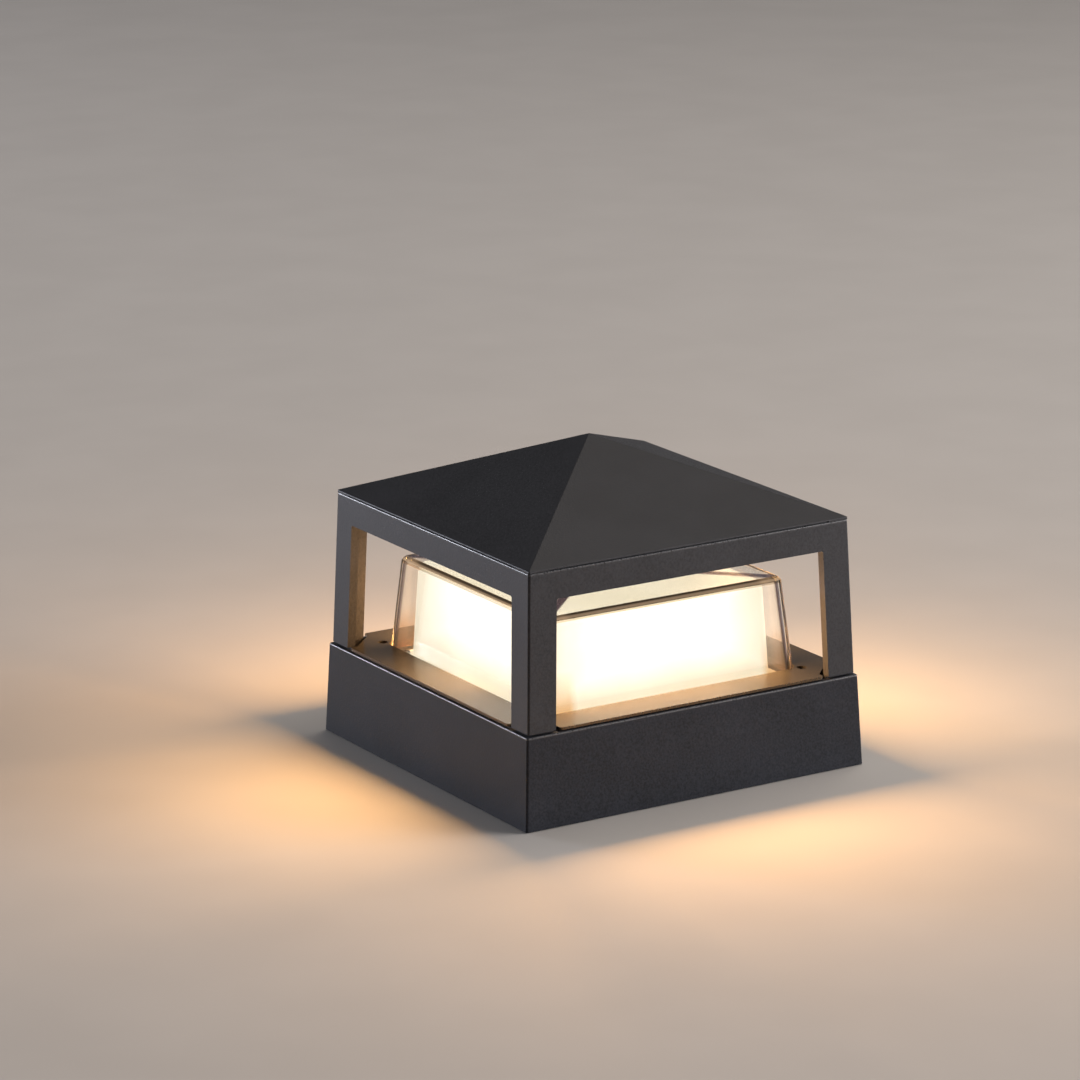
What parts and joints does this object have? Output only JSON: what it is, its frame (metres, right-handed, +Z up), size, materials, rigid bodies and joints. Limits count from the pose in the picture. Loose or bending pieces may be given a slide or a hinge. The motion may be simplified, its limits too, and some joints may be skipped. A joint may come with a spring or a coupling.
{
  "type": "outdoor pillar light",
  "caption": "Low square post light: flared base box, open corner-post lantern under a hip roof, glowing opal box in a clear cover.",
  "frame": {"origin": "centre of the footprint, on the surface that the light stands on", "axes": "+Z up through the roof's tip; +X and +Y square to the flat sides, which are alike"},
  "size_m": [0.1388, 0.1388, 0.115],
  "materials": {
    "housing_coat": "fine textured powder coat on die-cast aluminium",
    "cast_alloy": "bare die-cast aluminium, machined where it seats",
    "zinc_steel": "zinc-plated sheet steel",
    "stainless": "stainless steel fasteners",
    "clear_pc": "clear polycarbonate, polished",
    "opal_pc": "opal polycarbonate, satin",
    "silicone": "grey silicone rubber",
    "foam": "closed-cell foam",
    "grommet_rubber": "moulded rubber",
    "pad_silicone": "soft heat-conducting silicone",
    "board_white": "white solder mask on an aluminium board",
    "chip_phosphor": "yellow phosphor in a moulded lamp chip",
    "connector_nylon": "natural nylon",
    "driver_case": "moulded white polycarbonate",
    "terminal_nylon": "moulded grey nylon",
    "brass": "plain brass",
    "tinned_copper": "tinned copper",
    "wire_brown": "silicone-insulated wire",
    "wire_blue": "silicone-insulated wire",
    "wire_green": "silicone-insulated wire",
    "wire_red": "silicone-insulated wire",
    "wire_black": "silicone-insulated wire"
  },
  "bodies": {
    "base": {"base_housing": "housing_coat", "foot_gasket": "foam", "mounting_plate": "zinc_steel", "plate_screws": "stainless", "cable_grommet": "grommet_rubber"},
    "head": {"lantern_frame": "housing_coat", "roof_cap": "housing_coat", "deck_plate": "housing_coat", "clear_cover": "clear_pc", "inner_diffuser": "opal_pc", "cover_gasket": "silicone", "gear_tray": "cast_alloy", "thermal_pad": "pad_silicone", "led_board": "board_white", "led_chips": "chip_phosphor", "board_connector": "connector_nylon", "tray_gland": "silicone", "led_driver": "driver_case", "terminal_block": "terminal_nylon", "terminal_clamps": "brass", "earth_lug": "tinned_copper", "roof_screws": "stainless", "frame_screws": "stainless", "head_screws": "stainless", "tray_screws": "stainless", "diffuser_screws": "stainless", "board_screws": "stainless", "driver_screws": "stainless", "terminal_screws": "stainless", "earth_screw": "stainless", "live_wire": "wire_brown", "neutral_wire": "wire_blue", "earth_wire": "wire_green", "lamp_wire_plus": "wire_red", "lamp_wire_minus": "wire_black"}
  },
  "joints": [
    {"name": "head_lift", "type": "slide", "parent": "base", "child": "head", "axis": [0, 0, 1], "range_m": [0, 0.06]}
  ]
}
